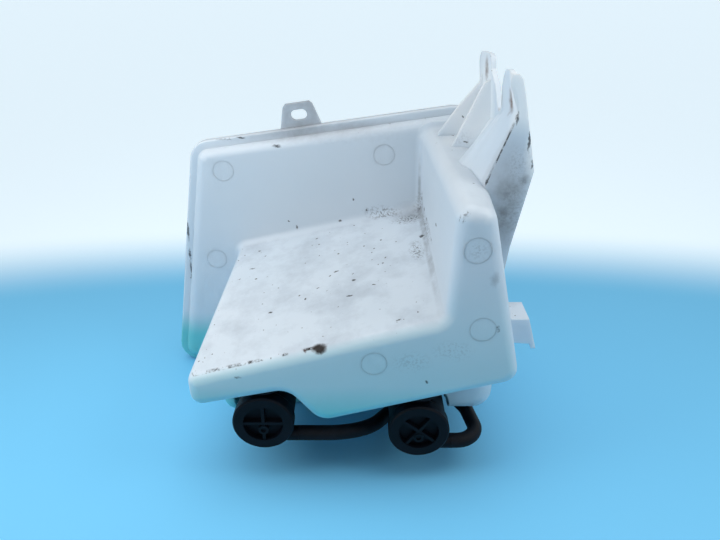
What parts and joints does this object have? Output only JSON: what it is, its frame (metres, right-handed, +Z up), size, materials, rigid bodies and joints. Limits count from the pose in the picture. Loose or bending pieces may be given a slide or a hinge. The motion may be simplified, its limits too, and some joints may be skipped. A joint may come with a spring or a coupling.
{
  "type": "washer fluid reservoir",
  "caption": "Translucent white tank of two welded half shells with a stepped front, fork and hook brackets, and washer pumps with moulded hoses underneath; stores and pumps screen-wash fluid.",
  "frame": {"origin": "middle of the tank's flat foot, on the surface it stands on", "axes": "+X right, +Y away from the viewer of the picture, +Z up"},
  "size_m": [0.2449, 0.202, 0.239],
  "materials": {
    "tank": "translucent natural, satin",
    "pump_black": "moulded, satin",
    "rubber": "matt",
    "steel": "plain",
    "bronze": "sintered",
    "copper": "bright",
    "ferrite": "dull",
    "carbon": "dull",
    "tin": "tinned"
  },
  "bodies": {
    "tank": {"front_shell": "tank", "rear_shell": "tank", "left_hose": "rubber", "right_hose": "rubber", "left_joiner": "pump_black", "right_joiner": "pump_black", "left_grommet": "rubber", "left_housing": "pump_black", "left_end_cap": "pump_black", "left_shaft_seal": "rubber", "left_motor_can": "steel", "left_front_bush": "bronze", "left_magnets": "ferrite", "left_brush_plate": "pump_black", "left_brushes": "carbon", "left_rear_cover": "pump_black", "left_terminals": "tin", "right_grommet": "rubber", "right_housing": "pump_black", "right_end_cap": "pump_black", "right_shaft_seal": "rubber", "right_motor_can": "steel", "right_front_bush": "bronze", "right_magnets": "ferrite", "right_brush_plate": "pump_black", "right_brushes": "carbon", "right_rear_cover": "pump_black", "right_terminals": "tin"},
    "left_rotor": {"left_shaft": "steel", "left_impeller": "pump_black", "left_armature_core": "steel", "left_windings": "copper", "left_commutator": "copper"},
    "right_rotor": {"right_shaft": "steel", "right_impeller": "pump_black", "right_armature_core": "steel", "right_windings": "copper", "right_commutator": "copper"}
  },
  "joints": [
    {"name": "left_rotor_spin", "type": "hinge", "parent": "tank", "child": "left_rotor", "pos_m": [-0.0565, -0.085, 0.0447], "axis": [0, 1, 0], "continuous": true},
    {"name": "right_rotor_spin", "type": "hinge", "parent": "tank", "child": "right_rotor", "pos_m": [0.0346, -0.085, 0.0388], "axis": [0, 1, 0], "continuous": true}
  ]
}
